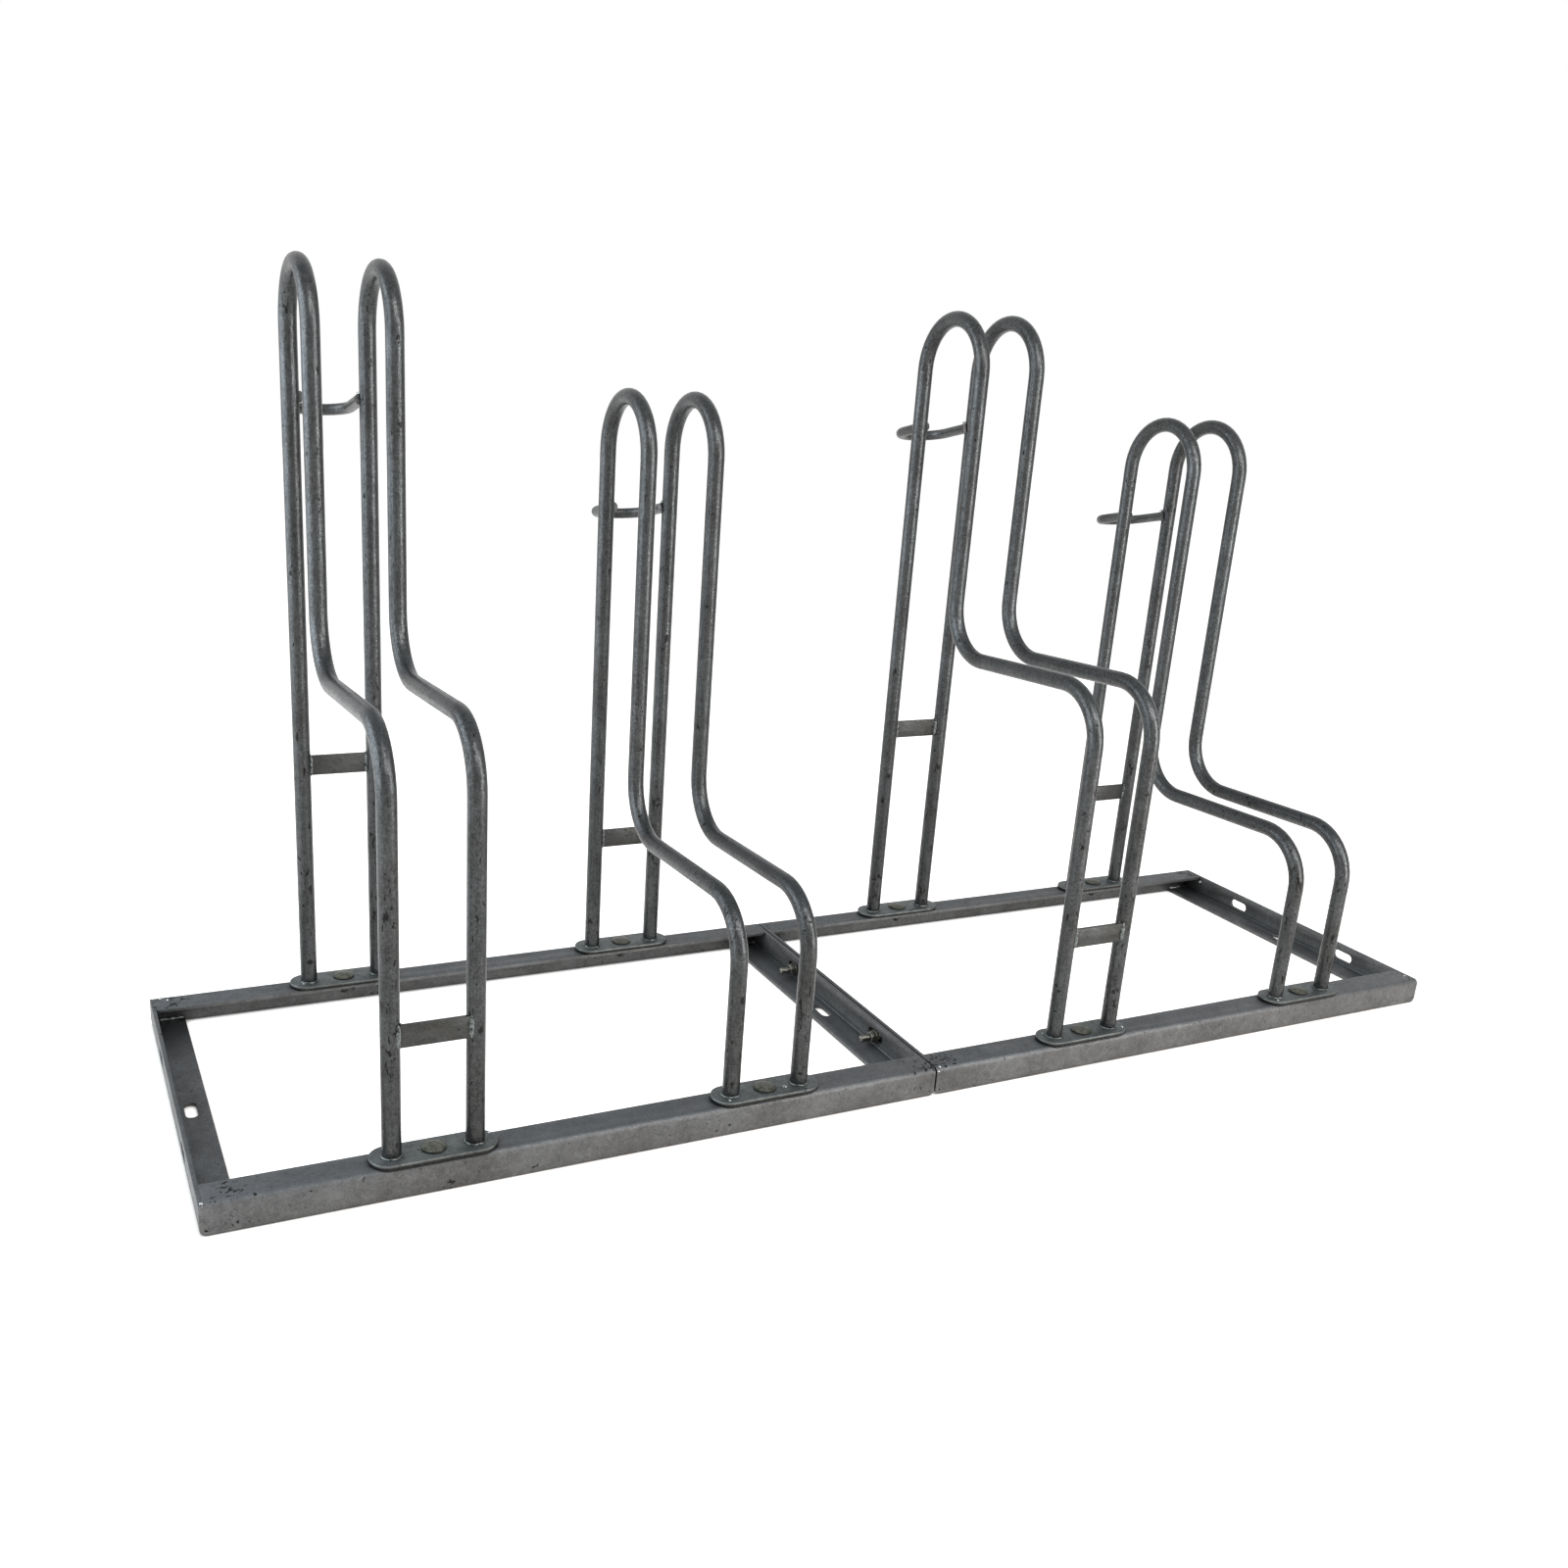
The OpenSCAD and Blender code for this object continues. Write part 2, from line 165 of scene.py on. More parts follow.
def srgb(code):
    """An sRGB hex colour as linear RGBA."""
    parts = [int(code[i:i + 2], 16) / 255 for i in (1, 3, 5)]
    return tuple(p / 12.92 if p <= 0.04045 else ((p + 0.055) / 1.055) ** 2.4 for p in parts) + (1.0,)


def per_mm(size):
    """Texture scale at which one cell or wave is this many millimetres."""
    return 1000 / size


def add(tree, kind, inputs=(), **settings):
    """Adds one node. inputs maps a socket's name or number to a value or to another node's output."""
    made = tree.nodes.new(kind)
    for key, value in settings.items():
        setattr(made, key, value)
    for key, value in dict(inputs).items():
        if isinstance(value, bpy.types.NodeSocket):
            tree.links.new(value, made.inputs[key])
        else:
            made.inputs[key].default_value = value
    return made


def new_material(name):
    """A material whose node tree is still empty."""
    material = bpy.data.materials.new(name)
    material.use_nodes = True
    material.node_tree.nodes.clear()
    return material, material.node_tree


def shifted(tree, value, gain, onto):
    """onto plus the value's swing about its middle 0.5, times gain."""
    swing = add(tree, "ShaderNodeMath", {0: value, 1: 0.5}, operation="SUBTRACT")
    raised = add(tree, "ShaderNodeMath", {0: swing.outputs[0], 1: gain, 2: onto}, operation="MULTIPLY_ADD")
    return raised.outputs[0]


# what weathered zinc shows, in millimetres
CLOUD_MM = 45
FLECK_MM = 2.2  # the grain of the real coat is finer, and is drawn as coarse as it needs to show
PATCH_MM = 70
PIT_MM = 5  # a cell of the pore noise; only its peaks become pits, so these are smaller
PIT_GROUP_MM = 50
# reaches of the painted shade inside angles and along seams
INNER_SHADE_REACH_MM = 70
SEAM_REACH_MM = 7
CAST_MM = 4
RIPPLE_MM = 3
# heights at which the darkening and extra pitting low down begin and are in full
LOW_ZONE_TOP_Z = 430
LOW_ZONE_FULL_Z = 120
# where the rough ground of a frame's corner begins and is in full, from the unit's end and side
CORNER_FROM_END = (50, 25)
CORNER_FROM_SIDE = (40, 28)
# colours of pits, darkening and painted shade, and a cool tint for what faces up
PIT_AND_SHADE_DARK = "#1d1c1b"
PAINTED_FASTENER_SHADE = "#232320"
INNER_SHADE_COLOUR = "#2a3031"
UPWARD_TINT = "#e6ebf0"


def away_from(tree, value, middle, half, edges):
    """0 round a middle, rising to 1 between two distances from the end of the half length."""
    off = add(tree, "ShaderNodeMath", {0: value, 1: mm(middle)}, operation="SUBTRACT")
    off = add(tree, "ShaderNodeMath", {0: off.outputs[0]}, operation="ABSOLUTE")
    return add(tree, "ShaderNodeMapRange", {"Value": off.outputs[0], "From Min": mm(half - edges[0]),
                                            "From Max": mm(half - edges[1])}).outputs[0]


def near_frame_corner(tree, place):
    """1 at the welded corners of either unit's frame and 0 along its bars, by place alone."""
    either = add(tree, "ShaderNodeMath", {0: place.outputs["X"]}, operation="ABSOLUTE")
    along = away_from(tree, either.outputs[0], UNIT_MIDDLE_X, UNIT_LENGTH / 2, CORNER_FROM_END)
    across = away_from(tree, place.outputs["Y"], MIDDLE_Y, FRAME_DEPTH / 2, CORNER_FROM_SIDE)
    return add(tree, "ShaderNodeMath", {0: along, 1: across}, operation="MULTIPLY").outputs[0]


def ground_roughness(tree, up, corner, group):
    """How much rougher the ground seams of a corner are: in groups, and on top above all."""
    ground = add(tree, "ShaderNodeMath", {0: up, 1: 0.85, 2: 0.15}, operation="MULTIPLY_ADD")
    ground = add(tree, "ShaderNodeMath", {0: ground.outputs[0], 1: corner}, operation="MULTIPLY")
    crowd = add(tree, "ShaderNodeMapRange",
                {"Value": group.outputs["Fac"], "From Min": 0.4, "From Max": 0.62, "To Min": 0.3})
    return add(tree, "ShaderNodeMath", {0: ground.outputs[0], 1: crowd.outputs[0]},
               operation="MULTIPLY").outputs[0]


def painted_inner_shade(tree, up, amount):
    """Painted shade inside an angle: darker the more enclosed a point is, and half as dark on what faces up.
    """
    shelter = add(tree, "ShaderNodeAmbientOcclusion", {"Distance": mm(INNER_SHADE_REACH_MM)}, samples=6,
                  only_local=True)
    inner_shade = add(tree, "ShaderNodeMapRange", {"Value": shelter.outputs["AO"], "From Min": 0.95,
                                            "From Max": 0.35, "To Max": amount})
    kept = add(tree, "ShaderNodeMath", {0: up, 1: -0.5, 2: 1.0}, operation="MULTIPLY_ADD")
    return add(tree, "ShaderNodeMath", {0: inner_shade.outputs[0], 1: kept.outputs[0]},
               operation="MULTIPLY").outputs[0]


def painted_seam_shade(tree, place):
    """Painted shade along every seam and contact, darker the more enclosed a point is, but not where the rack
    only stands on the floor.
    """
    seam = add(tree, "ShaderNodeAmbientOcclusion", {"Distance": mm(SEAM_REACH_MM)}, samples=6)
    seam = add(tree, "ShaderNodeMapRange",
               {"Value": seam.outputs["AO"], "From Min": 0.82, "From Max": 0.35, "To Max": 0.8})
    off_floor = add(tree, "ShaderNodeMapRange",
                    {"Value": place.outputs["Z"], "From Min": mm(3), "From Max": mm(8)})
    return add(tree, "ShaderNodeMath", {0: seam.outputs[0], 1: off_floor.outputs[0]},
               operation="MULTIPLY").outputs[0]


def hot_dip_galvanised(name, pale, deep, warm, spangle_mm, streak_mm, roughness, mottle, pits=0.02,
                       pit_length=1.0, inner_shade_amount=0.0, low_darkening=0.0, weld_zones=False, painted_foot_shade=False):
    """Steel dipped in molten zinc and weathered: grey crystals, clouds, runs, flecks and dark pits."""
    material, tree = new_material(name)
    here = add(tree, "ShaderNodeTexCoord").outputs["Object"]
    place = add(tree, "ShaderNodeSeparateXYZ", {"Vector": here})
    normal = add(tree, "ShaderNodeNewGeometry").outputs["Normal"]
    facing = add(tree, "ShaderNodeSeparateXYZ", {"Vector": normal})
    up = add(tree, "ShaderNodeMapRange",
             {"Value": facing.outputs["Z"], "From Min": 0.3, "From Max": 0.85}).outputs[0]
    # crystals of the zinc coat, a few millimetres across
    crystal = add(tree, "ShaderNodeTexVoronoi", {"Vector": here, "Scale": per_mm(spangle_mm)})
    tint = add(tree, "ShaderNodeSeparateColor", {"Color": crystal.outputs["Color"]})
    # clouds of thicker and thinner coat, and the fine flecks inside them
    cloud = add(tree, "ShaderNodeTexNoise",
                {"Vector": here, "Scale": per_mm(CLOUD_MM), "Detail": 3.0, "Roughness": 0.6})
    fleck = add(tree, "ShaderNodeTexNoise",
                {"Vector": here, "Scale": per_mm(FLECK_MM), "Detail": 2.0, "Roughness": 0.7})
    # lines left by rolling or drawing, and by zinc that ran off, along the given length
    drawn = add(tree, "ShaderNodeMapping", {"Vector": here, "Scale": [per_mm(size) for size in streak_mm]})
    streak = add(tree, "ShaderNodeTexNoise",
                 {"Vector": drawn.outputs["Vector"], "Scale": 1.0, "Detail": 3.0, "Roughness": 0.65})
    tone = shifted(tree, tint.outputs[0], 0.4 * mottle, 0.5)
    tone = shifted(tree, cloud.outputs["Fac"], 1.3 * mottle, tone)
    tone = shifted(tree, streak.outputs["Fac"], 1.5 * mottle, tone)
    tone = shifted(tree, fleck.outputs["Fac"], 2.6 * mottle, tone)
    share = add(tree, "ShaderNodeClamp", {"Value": tone})
    coat = add(tree, "ShaderNodeMix", {0: share.outputs[0], 6: srgb(deep), 7: srgb(pale)}, data_type="RGBA")
    # a brownish weathered cast in patches, and a cooler tint on what faces up
    patch = add(tree, "ShaderNodeTexNoise",
                {"Vector": here, "Scale": per_mm(PATCH_MM), "Detail": 4.0, "Roughness": 0.7})
    age = add(tree, "ShaderNodeMapRange", {"Value": patch.outputs["Fac"], "From Min": 0.42, "From Max": 0.62,
                                           "To Min": 0.1, "To Max": 0.75})
    age = add(tree, "ShaderNodeMath", {0: age.outputs[0], 1: up}, operation="MAXIMUM")
    cast = add(tree, "ShaderNodeMix", {0: up, 6: srgb(warm), 7: srgb(UPWARD_TINT)}, data_type="RGBA")
    coat = add(tree, "ShaderNodeMix", {0: age.outputs[0], 6: coat.outputs[2], 7: cast.outputs[2]},
               data_type="RGBA", blend_type="MULTIPLY")
    # pits: small dark holes of uneven outline, in groups, where the pore noise passes the limit
    spread = add(tree, "ShaderNodeMapping", {"Vector": here, "Scale": (1.0, 1.0, 1 / pit_length)})
    pore = add(tree, "ShaderNodeTexNoise", {"Vector": spread.outputs["Vector"], "Scale": per_mm(PIT_MM),
                                            "Detail": 3.0, "Roughness": 0.55, "Distortion": 0.5})
    group = add(tree, "ShaderNodeTexNoise", {"Vector": here, "Scale": per_mm(PIT_GROUP_MM), "Detail": 2.0})
    limit = add(tree, "ShaderNodeMapRange",
                {"Value": group.outputs["Fac"], "From Min": 0.4, "From Max": 0.7,
                 "To Min": 0.76 - pits, "To Max": 0.665 - pits}).outputs[0]
    if weld_zones:
        corner = near_frame_corner(tree, place)
        ground = ground_roughness(tree, up, corner, group)
        limit = add(tree, "ShaderNodeMath", {0: ground, 1: -0.17, 2: limit},
                    operation="MULTIPLY_ADD").outputs[0]
    if low_darkening:
        # what stands low is pitted more, and darker further down
        low = add(tree, "ShaderNodeMapRange", {"Value": place.outputs["Z"], "From Min": mm(LOW_ZONE_TOP_Z),
                                               "From Max": mm(LOW_ZONE_FULL_Z)})
        limit = add(tree, "ShaderNodeMath", {0: low.outputs[0], 1: -0.055, 2: limit},
                    operation="MULTIPLY_ADD").outputs[0]
    depth = add(tree, "ShaderNodeMath", {0: pore.outputs["Fac"], 1: limit}, operation="SUBTRACT")
    pit = add(tree, "ShaderNodeMapRange", {"Value": depth.outputs[0], "From Min": 0.0, "From Max": 0.025})
    dark = pit.outputs[0]
    # painted shade inside angles, deepest where a point is most enclosed
    if inner_shade_amount:
        inner_shade = painted_inner_shade(tree, up, inner_shade_amount)
        coat = add(tree, "ShaderNodeMix", {0: inner_shade, 6: coat.outputs[2], 7: srgb(INNER_SHADE_COLOUR)},
                   data_type="RGBA")
    if inner_shade_amount and weld_zones:
        # painted shade: the inner shade made deeper near the frame's welded corners
        corner_shade = add(tree, "ShaderNodeMath", {0: inner_shade, 1: corner}, operation="MULTIPLY")
        corner_shade = add(tree, "ShaderNodeMath", {0: corner_shade.outputs[0], 1: 1.3}, operation="MULTIPLY",
                   use_clamp=True)
        dark = add(tree, "ShaderNodeMath", {0: dark, 1: corner_shade.outputs[0]}, operation="MAXIMUM").outputs[0]
    # painted shade along every seam and contact
    dark = add(tree, "ShaderNodeMath", {0: dark, 1: painted_seam_shade(tree, place)}, operation="MAXIMUM").outputs[0]
    if low_darkening:
        dull = add(tree, "ShaderNodeMath", {0: low.outputs[0], 1: low_darkening}, operation="MULTIPLY")
        dark = add(tree, "ShaderNodeMath", {0: dark, 1: dull.outputs[0]}, operation="MAXIMUM").outputs[0]
    if painted_foot_shade:
        # painted shade along the plate's lower edge, where it lies on the rail
        foot = add(tree, "ShaderNodeMapRange",
                   {"Value": place.outputs["Z"], "From Min": mm(PLATE_TOP_Z - 0.8),
                    "From Max": mm(PLATE_TOP_Z - 3)})
        foot = shifted(tree, fleck.outputs["Fac"], 1.2, foot.outputs[0])
        dark = add(tree, "ShaderNodeMath", {0: dark, 1: foot}, operation="ADD", use_clamp=True).outputs[0]
    # pits, painted shade and the darkening low down all draw the coat to one dark colour
    colour = add(tree, "ShaderNodeMix", {0: dark, 6: coat.outputs[2], 7: srgb(PIT_AND_SHADE_DARK)}, data_type="RGBA")
    # the coat is never quite flat: crystals at their own height, flecks, runs and the pits
    raised = shifted(tree, tint.outputs[1], 0.25, 0.0)
    raised = shifted(tree, fleck.outputs["Fac"], 1.3, raised)
    raised = shifted(tree, streak.outputs["Fac"], 0.9, raised)
    raised = add(tree, "ShaderNodeMath", {0: pit.outputs[0], 1: -0.8, 2: raised}, operation="MULTIPLY_ADD")
    bump = add(tree, "ShaderNodeBump",
               {"Height": raised.outputs[0], "Strength": 0.75, "Distance": mm(0.35)})
    gloss = add(tree, "ShaderNodeMapRange",
                {"Value": tone, "To Min": roughness + 0.08, "To Max": roughness - 0.06})
    steel = add(tree, "ShaderNodeBsdfPrincipled",
                {"Base Color": colour.outputs[2], "Metallic": 0.9, "Roughness": gloss.outputs[0],
                 "Normal": bump.outputs[0]})
    add(tree, "ShaderNodeOutputMaterial", {"Surface": steel.outputs[0]})
    return material


def zinc_plated(name, light, dark, roughness, shade_from=-1, shade_to=0):
    """Passivated fastener steel with a faint olive cast, and painted shade on what lies low.

    The painted shade begins at the height shade_to and is in full from shade_from down. Where no heights are
    given, they lie under the floor, and nothing is shaded.
    """
    material, tree = new_material(name)
    here = add(tree, "ShaderNodeTexCoord").outputs["Object"]
    cast = add(tree, "ShaderNodeTexNoise",
               {"Vector": here, "Scale": per_mm(CAST_MM), "Detail": 4.0, "Roughness": 0.7})
    share = add(tree, "ShaderNodeMapRange",
                {"Value": cast.outputs["Fac"], "From Min": 0.35, "From Max": 0.65})
    coat = add(tree, "ShaderNodeMix", {0: share.outputs[0], 6: srgb(dark), 7: srgb(light)}, data_type="RGBA")
    place = add(tree, "ShaderNodeSeparateXYZ", {"Vector": here})
    low_shade = add(tree, "ShaderNodeMapRange",
                {"Value": place.outputs["Z"], "From Min": mm(shade_to), "From Max": mm(shade_from)})
    colour = add(tree, "ShaderNodeMix", {0: low_shade.outputs[0], 6: coat.outputs[2], 7: srgb(PAINTED_FASTENER_SHADE)},
                 data_type="RGBA")
    bump = add(tree, "ShaderNodeBump", {"Height": cast.outputs["Fac"], "Strength": 0.7, "Distance": mm(0.5)})
    steel = add(tree, "ShaderNodeBsdfPrincipled",
                {"Base Color": colour.outputs[2], "Metallic": 0.85, "Roughness": roughness,
                 "Normal": bump.outputs[0]})
    add(tree, "ShaderNodeOutputMaterial", {"Surface": steel.outputs[0]})
    return material


def galvanised_weld(name, light, dark, roughness):
    """Weld metal under the zinc: rippled and blotchy, with painted highlights on the crests and painted shade
    in the toes.
    """
    material, tree = new_material(name)
    here = add(tree, "ShaderNodeTexCoord").outputs["Object"]
    blotch = add(tree, "ShaderNodeTexNoise",
                 {"Vector": here, "Scale": per_mm(RIPPLE_MM), "Detail": 3.0, "Roughness": 0.7})
    share = add(tree, "ShaderNodeMapRange",
                {"Value": blotch.outputs["Fac"], "From Min": 0.38, "From Max": 0.58})
    colour = add(tree, "ShaderNodeMix", {0: share.outputs[0], 6: srgb(dark), 7: srgb(light)},
                 data_type="RGBA")
    bump = add(tree, "ShaderNodeBump",
               {"Height": blotch.outputs["Fac"], "Strength": 0.6, "Distance": mm(0.5)})
    steel = add(tree, "ShaderNodeBsdfPrincipled",
                {"Base Color": colour.outputs[2], "Metallic": 0.9, "Roughness": roughness,
                 "Normal": bump.outputs[0]})
    add(tree, "ShaderNodeOutputMaterial", {"Surface": steel.outputs[0]})
    return material


# rolled angle: dull and even, with painted shade inside, and cratered where the frame's corners were ground
ANGLE_STEEL = hot_dip_galvanised(
    "hot_dip_galvanised_angle", pale="#6d6d6d", deep="#505050", warm="#dad6d3", spangle_mm=5,
    streak_mm=(14, 12, 12), roughness=0.58, mottle=0.5, pits=0.03, inner_shade_amount=0.75, weld_zones=True)
# drawn tube: darker and glossier, with long streaks, and long pits that crowd near the ground
TUBE_STEEL = hot_dip_galvanised(
    "hot_dip_galvanised_tube", pale="#545657", deep="#2a2b2b", warm="#e2dbd7", spangle_mm=3.5,
    streak_mm=(2.5, 2.5, 30), roughness=0.31, mottle=0.55, pits=0.052, pit_length=2.6, low_darkening=0.13)
# cut plate: the palest and most clouded, and black along its lower edge, a painted shade
PLATE_STEEL = hot_dip_galvanised(
    "hot_dip_galvanised_plate", pale="#737674", deep="#4e504f", warm="#dcd8d2", spangle_mm=5,
    streak_mm=(12, 12, 12), roughness=0.5, mottle=0.7, pits=0.03, painted_foot_shade=True)
# rolled flat bar: the darkest, duller than the tubes, with streaks along its length
FLAT_STEEL = hot_dip_galvanised(
    "hot_dip_galvanised_flat_bar", pale="#4d4e4d", deep="#343433", warm="#d8d1cb", spangle_mm=5,
    streak_mm=(30, 6, 6), roughness=0.48, mottle=0.5)
# drawn rod: a little paler than the tube and less glossy
ROD_STEEL = hot_dip_galvanised(
    "hot_dip_galvanised_rod", pale="#5a5c5d", deep="#323232", warm="#dcd5d0", spangle_mm=3.5,
    streak_mm=(4, 25, 4), roughness=0.36, mottle=0.5)
# passivated zinc: bright on the fasteners that join the units, brown with dirt in their threads, and
# dull on the foot bolts and nuts, where painted shade darkens all that lies under the domed heads
FASTENER_ZINC = zinc_plated("bright_passivated_zinc", "#7c7b75", "#35342f", roughness=0.33)
THREAD_ZINC = zinc_plated("grimy_thread_zinc", "#464034", "#1f1b16", roughness=0.55)
HEAD_ZINC = zinc_plated("dull_passivated_zinc", "#66675e", "#383933", roughness=0.5,
                        shade_from=PLATE_TOP_Z + 0.2, shade_to=PLATE_TOP_Z + 2.2)
# weld metal: pale with painted glints on stops, corners and drops, dull round the feet and beside the bars
WELD_METAL_WITH_GLINT = galvanised_weld("galvanised_weld_metal", "#c0c4c4", "#3a3b39", roughness=0.3)
RING_METAL = galvanised_weld("dull_weld_metal", "#6c706f", "#2c2d2c", roughness=0.45)


# pieces that keep the shape of the solid, with their edges broken

def dress(node, material, slot, edge, smooth=35):
    """Copies a solid, joins its triangles into clean faces and breaks its sharp edges, as zinc does."""
    put_down()
    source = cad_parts[node]
    source.select_set(True)
    bpy.context.view_layer.objects.active = source
    bpy.ops.object.duplicate(linked=False)
    piece = name_new("dressed_" + node)
    bpy.ops.object.mode_set(mode="EDIT")
    bpy.ops.mesh.select_all(action="SELECT")
    bpy.ops.mesh.remove_doubles(threshold=1e-6)
    bpy.ops.mesh.dissolve_limited(angle_limit=math.radians(0.5))
    bpy.ops.object.mode_set(mode="OBJECT")
    bevel = piece.modifiers.new("broken_edges", "BEVEL")
    bevel.width = mm(edge)
    bevel.segments = 2
    bevel.limit_method = "ANGLE"
    bevel.angle_limit = math.radians(35)
    bpy.ops.object.modifier_apply(modifier=bevel.name)
    bpy.ops.object.shade_smooth_by_angle(angle=math.radians(smooth))
    return fit(piece, material, slot, node)


for unit in ("left", "right"):
    for part, edge in (("front_rail", 0.8), ("rear_rail", 0.8), ("end_bar", 0.6), ("middle_end_bar", 0.6)):
        dress(unit + "_" + part, ANGLE_STEEL, "galvanised_angle", edge)
for holder in HOLDER_X:
    lead = "holder%d_" % holder
    for part in ("front_plate", "rear_plate"):
        dress(lead + part, PLATE_STEEL, "galvanised_plate", 0.7)
    for part in ("front_bar", "rear_bar") if holder in HIGH_HOLDERS else ("rear_bar",):
        dress(lead + part, FLAT_STEEL, "galvanised_flat", 0.5)
for part in ("foot_bolts", "foot_nuts"):
    dress(part, HEAD_ZINC, "zinc_fastener", 0.3, 40)
for part in ("joining_bolts", "joining_washers", "joining_nuts"):
    dress(part, FASTENER_ZINC, "zinc_fastener", 0.3, 40)


# bent tube and rod

BEND_STEP = 7.5  # degrees of a bend between two rings of its mesh

def extrude_run(step, count):
    """Draws the open end on in equal steps."""
    for _ in range(count):
        bpy.ops.mesh.extrude_region_move(TRANSFORM_OT_translate={"value": step})


def bend_stock(name, start, heading, radius, sides, plan, bend_r, axis, section):
    """Draws a round bar along its bending plan: each run is straight, then the bar turns about axis.

    section is the length between two rings of a run, in millimetres.
    """
    put_down()
    lie = Vector((0, 0, 1)).rotation_difference(heading).to_euler()
    bpy.ops.mesh.primitive_circle_add(vertices=sides, radius=mm(radius), location=start, rotation=lie)
    piece = name_new(name)
    bpy.ops.object.transform_apply(location=True, rotation=True, scale=True)
    bpy.ops.object.mode_set(mode="EDIT")
    bpy.ops.mesh.select_all(action="SELECT")
    bpy.ops.mesh.edge_face_add()
    place, heading = Vector(start), Vector(heading)
    for run, turn in plan:
        if run:
            count = max(1, round(run / section))
            extrude_run(heading * mm(run) / count, count)
            place += heading * mm(run)
        if turn:
            inward = axis.cross(heading) * math.copysign(1, turn)
            centre = place + inward * mm(bend_r)
            # the spin operator counts its angle the other way round the axis
            bpy.ops.mesh.spin(steps=max(4, round(abs(turn) / BEND_STEP)), angle=-math.radians(turn),
                              center=centre, axis=axis)
            swing = Quaternion(axis, math.radians(turn))
            place = centre + swing @ (place - centre)
            heading = swing @ heading
    close_up(piece)
    return piece


def hoop_plan(size):
    """The runs and turns of a hoop from its front foot: up, back with a slight fall, up, over and down."""
    back, fall = UPPER_Y - FRONT_FOOT_Y, size["knee"] - size["shoulder"]
    slope = math.degrees(math.atan2(fall, back))
    cut = BEND_R * math.tan(math.radians((90 + slope) / 2))
    return [(size["knee"] - cut - PLATE_TOP_Z, -90 - slope),
            (math.hypot(back, fall) - 2 * cut, 90 + slope),
            (size["top"] - BEND_R - size["shoulder"] - cut, -180),
            (size["top"] - BEND_R - PLATE_TOP_Z, 0)]


ACROSS = Vector((1, 0, 0))
UP = Vector((0, 0, 1))

for holder in HOLDER_X:
    size = level(holder)
    for side, word in ((-1, "left"), (1, "right")):
        foot = mm(tube_x(holder, side), FRONT_FOOT_Y, PLATE_TOP_Z)
        hoop = bend_stock("bent_hoop%d_%s" % (holder, word), foot, UP, TUBE_R, sides=32,
                          plan=hoop_plan(size), bend_r=BEND_R, axis=ACROSS, section=30)
        fit(hoop, TUBE_STEEL, "galvanised_tube", "holder%d_%s_hoop" % (holder, word))
    # the wheel stop leaves the right tube, turns round behind the wheel and comes back to the left tube
    half = TUBE_PITCH / 2 - STOP_INSET
    back = Quaternion(ACROSS, math.radians(-STOP_TILT)) @ Vector((0, 1, 0))
    lean = Quaternion(ACROSS, math.radians(-STOP_TILT)) @ UP
    start = mm(HOLDER_X[holder] + half, REAR_FOOT_Y, size["stop"])
    stop = bend_stock("bent_stop%d" % holder, start, back, ROD_R, sides=24,
                      plan=[(STOP_BACK - half, 180), (STOP_BACK - half, 0)], bend_r=half, axis=lean,
                      section=20)
    fit(stop, ROD_STEEL, "galvanised_rod", "holder%d_wheel_stop" % holder)


# weld metal and threads, which the solids leave out

def lumpy(piece, cell, swell):
    """Presses an unevenness into a bead: the width of a lump and its height, in millimetres."""
    lumps = bpy.data.textures.new(piece.name + "_lumps", "CLOUDS")
    lumps.noise_scale = mm(cell)
    press = piece.modifiers.new("unevenness", "DISPLACE")
    press.texture = lumps
    press.strength = mm(swell)
    take(piece)
    bpy.ops.object.modifier_apply(modifier=press.name)
    bpy.ops.object.shade_smooth()


def lay(source, name, material, slot, places):
    """Copies one bead to its places, each a point, turns in degrees and a stretch, and joins the copies."""
    beads = []
    for point, turns, stretch in places:
        take(source)
        bpy.ops.object.duplicate(linked=False)
        bead = bpy.context.object
        bead.scale = stretch
        bead.rotation_euler = [math.radians(turn) for turn in turns]
        bead.location = mm(*point)
        bpy.ops.object.transform_apply(location=True, rotation=True, scale=True)
        beads.append(bead)
    put_down()
    for bead in beads:
        bead.select_set(True)
    bpy.context.view_layer.objects.active = beads[0]
    bpy.ops.object.join()
    piece = name_new(name)
    bpy.data.objects.remove(source)
    return fit(piece, material, slot)


UNSTRETCHED = (1, 1, 1)
RING_WIRE_R = 1.2
BLOB_R = 3.4
DROP_R = 1.5
# half sizes of the long beads
BAR_BEAD = (2.8, 2.0, 11.5)
SEAM_BEAD = (2.2, 2.2, 14)

# a ring of weld round the foot of each tube, every one turned its own way
put_down()
bpy.ops.mesh.primitive_torus_add(major_segments=48, minor_segments=8, major_radius=mm(TUBE_R + 0.3),
                                 minor_radius=mm(RING_WIRE_R))
ring = name_new("foot_ring")
lumpy(ring, cell=5, swell=1.4)
rings = [((tube_x(holder, side), y, PLATE_TOP_Z + 0.3), (0, 0, 47 * number), UNSTRETCHED)
         for number, (holder, side, y) in enumerate((h, s, y) for h in HOLDER_X for s in (-1, 1)
                                                    for y in (FRONT_FOOT_Y, REAR_FOOT_Y))]
lay(ring, "foot_weld_rings", RING_METAL, "galvanised_plate", rings)

